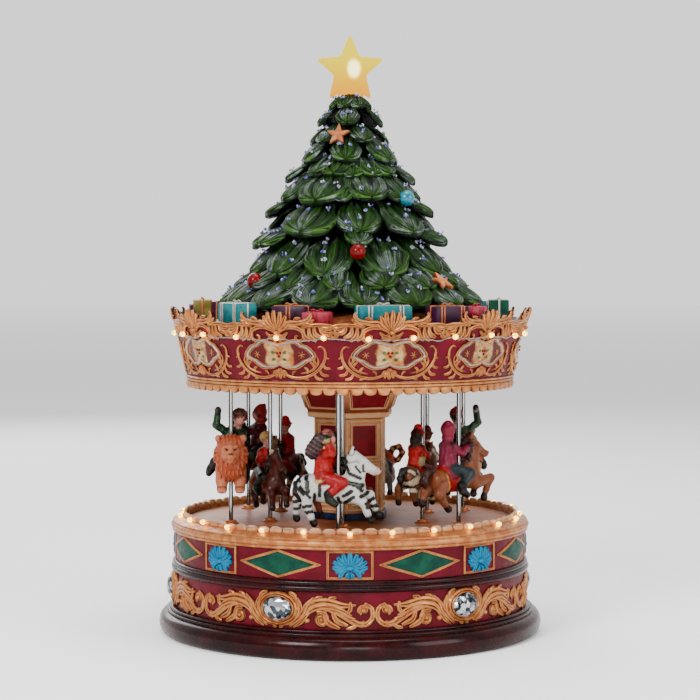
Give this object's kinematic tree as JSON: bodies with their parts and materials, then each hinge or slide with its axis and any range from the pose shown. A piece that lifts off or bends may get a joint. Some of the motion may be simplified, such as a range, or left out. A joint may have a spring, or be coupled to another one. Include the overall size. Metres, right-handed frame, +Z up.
{
  "type": "tabletop musical christmas carousel",
  "caption": "Tabletop Christmas carousel model: a round drum carries a turning deck, canopy and fir tree, with animals and riders that rise and fall on poles.",
  "frame": {"origin": "centre of the plinth's underside", "axes": "+Z up along the axis that the carousel turns about, -Y towards the front of the picture, +X to its right"},
  "size_m": [0.22, 0.22, 0.3406],
  "materials": {
    "mahogany": "gloss paint on resin",
    "burgundy": "satin paint on resin",
    "gold": "aged gold paint on resin",
    "copper": "copper paint on resin",
    "navy": "satin paint on resin",
    "crystal": "clear faceted acrylic",
    "fir": "dark green paint with frosted tips",
    "star": "translucent yellow, lit from inside",
    "chrome": "polished tube",
    "wire": "fine silvery wire with warm white lights",
    "white_paint": "white and black paint on resin",
    "orange_paint": "orange paint on resin",
    "brown_paint": "brown paint on resin",
    "dark_paint": "black paint on resin",
    "pale_paint": "pale paint on resin"
  },
  "bodies": {
    "drum": {"plinth": "mahogany", "lower_drum": "burgundy", "middle_ring": "mahogany", "upper_drum": "burgundy", "rim_moulding": "gold", "rim_crown": "copper", "turntable_pin": "chrome", "rim_light_string": "wire", "crystal_1": "crystal", "crystal_2": "crystal", "crystal_3": "crystal", "crystal_4": "crystal", "crystal_5": "crystal", "crystal_6": "crystal"},
    "turntable": {"deck": "copper", "column_foot": "navy", "column_shaft": "gold", "column_flare": "gold", "canopy_ceiling": "burgundy", "canopy_fringe": "gold", "canopy_wall": "burgundy", "canopy_crest": "gold", "canopy_roof": "gold", "fir_tree": "fir", "tree_star": "star", "canopy_light_string": "wire"},
    "zebra_lift": {"zebra_and_rider": "white_paint", "pole_outer_265": "chrome"},
    "lion_lift": {"lion_and_rider": "orange_paint", "pole_outer_205": "chrome"},
    "black_horse_lift": {"black_horse_and_rider": "dark_paint", "pole_outer_145": "chrome"},
    "tiger_lift": {"tiger_and_rider": "orange_paint", "pole_outer_85": "chrome"},
    "tan_lion_lift": {"tan_lion_and_rider": "orange_paint", "pole_outer_25": "chrome"},
    "chestnut_horse_lift": {"chestnut_horse_and_rider": "brown_paint", "pole_outer_325": "chrome"},
    "bay_horse_lift": {"bay_horse_and_rider": "brown_paint", "pole_inner_265": "chrome"},
    "brown_horse_lift": {"brown_horse_and_rider": "brown_paint", "pole_inner_205": "chrome"},
    "patched_pony_lift": {"patched_pony_and_rider": "brown_paint", "pole_inner_145": "chrome"},
    "grey_horse_lift": {"grey_horse_and_rider": "pale_paint", "pole_inner_85": "chrome"},
    "cream_horse_lift": {"cream_horse_and_rider": "pale_paint", "pole_inner_25": "chrome"},
    "pied_horse_lift": {"pied_horse_and_rider": "brown_paint", "pole_inner_325": "chrome"}
  },
  "joints": [
    {"name": "carousel_turn", "type": "hinge", "parent": "drum", "child": "turntable", "pos_m": [0, 0, 0.0625], "axis": [0, 0, 1], "continuous": true},
    {"name": "zebra_slide", "type": "slide", "parent": "turntable", "child": "zebra_lift", "axis": [0, 0, 1], "range_m": [-0.00059, 0.00341]},
    {"name": "lion_slide", "type": "slide", "parent": "turntable", "child": "lion_lift", "axis": [0, 0, 1], "range_m": [-0.00252, 0.00148]},
    {"name": "black_horse_slide", "type": "slide", "parent": "turntable", "child": "black_horse_lift", "axis": [0, 0, 1], "range_m": [-0.00393, 0.00007]},
    {"name": "tiger_slide", "type": "slide", "parent": "turntable", "child": "tiger_lift", "axis": [0, 0, 1], "range_m": [-0.00341, 0.00059]},
    {"name": "tan_lion_slide", "type": "slide", "parent": "turntable", "child": "tan_lion_lift", "axis": [0, 0, 1], "range_m": [-0.00148, 0.00252]},
    {"name": "chestnut_horse_slide", "type": "slide", "parent": "turntable", "child": "chestnut_horse_lift", "axis": [0, 0, 1], "range_m": [-0.00007, 0.00393]},
    {"name": "bay_horse_slide", "type": "slide", "parent": "turntable", "child": "bay_horse_lift", "axis": [0, 0, 1], "range_m": [-0.0004, 0.00231]},
    {"name": "brown_horse_slide", "type": "slide", "parent": "turntable", "child": "brown_horse_lift", "axis": [0, 0, 1], "range_m": [-0.0017, 0.001]},
    {"name": "patched_pony_slide", "type": "slide", "parent": "turntable", "child": "patched_pony_lift", "axis": [0, 0, 1], "range_m": [-0.00266, 0.00005]},
    {"name": "grey_horse_slide", "type": "slide", "parent": "turntable", "child": "grey_horse_lift", "axis": [0, 0, 1], "range_m": [-0.00231, 0.0004]},
    {"name": "cream_horse_slide", "type": "slide", "parent": "turntable", "child": "cream_horse_lift", "axis": [0, 0, 1], "range_m": [-0.001, 0.0017]},
    {"name": "pied_horse_slide", "type": "slide", "parent": "turntable", "child": "pied_horse_lift", "axis": [0, 0, 1], "range_m": [-0.00005, 0.00266]}
  ]
}
